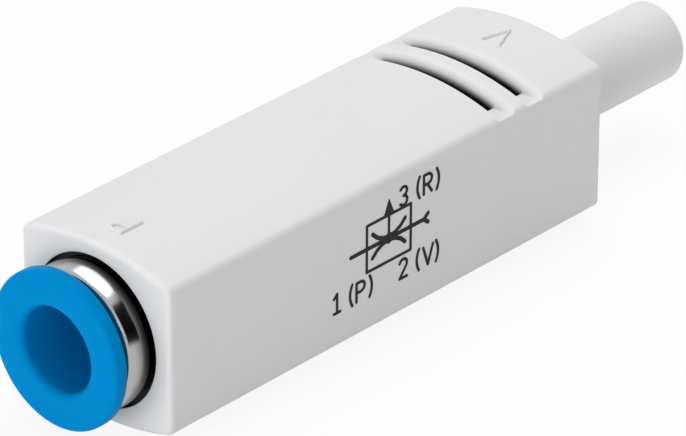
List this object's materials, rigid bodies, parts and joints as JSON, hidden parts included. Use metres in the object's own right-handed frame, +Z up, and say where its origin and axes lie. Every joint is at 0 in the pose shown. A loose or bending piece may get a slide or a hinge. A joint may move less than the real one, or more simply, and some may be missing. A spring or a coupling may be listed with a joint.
{
  "type": "vacuum ejector",
  "caption": "Inline vacuum ejector: grey crowned housing with a push-in supply port and release ring in front, exhaust slots across the top and a plain vacuum spigot behind.",
  "frame": {"origin": "centre of the housing's front face, on the common axis of both ports", "axes": "+Y from the supply port to the vacuum spigot, +Z up, out of the exhaust slots, +X out of the printed side"},
  "size_m": [0.0136, 0.0609, 0.0133],
  "materials": {
    "housing_plastic": "satin",
    "ink": "matte",
    "nickel_plated_brass": "polished",
    "blue_plastic": "gloss",
    "stainless_sheet": "polished",
    "guide_plastic": "satin",
    "seal_rubber": "matte",
    "turned_aluminium": "satin",
    "receiver_plastic": "satin",
    "spigot_plastic": "satin"
  },
  "bodies": {
    "housing": {"housing": "housing_plastic", "port_marking": "ink", "cartridge_sleeve": "nickel_plated_brass", "retaining_claw": "stainless_sheet", "claw_support_ring": "guide_plastic", "tube_seal": "seal_rubber", "jet_nozzle": "turned_aluminium", "jet_nozzle_o_ring": "seal_rubber", "receiver_nozzle": "receiver_plastic", "receiver_nozzle_o_ring": "seal_rubber", "vacuum_spigot": "spigot_plastic", "spigot_o_ring": "seal_rubber"},
    "release_ring": {"release_ring": "blue_plastic"}
  },
  "joints": [
    {"name": "release_ring_press", "type": "slide", "parent": "housing", "child": "release_ring", "axis": [0, 1, 0], "range_m": [0, 0.0006], "stiffness_N_per_m": 5000, "springref_m": -0.0002, "deforming": ["retaining_claw"]}
  ]
}
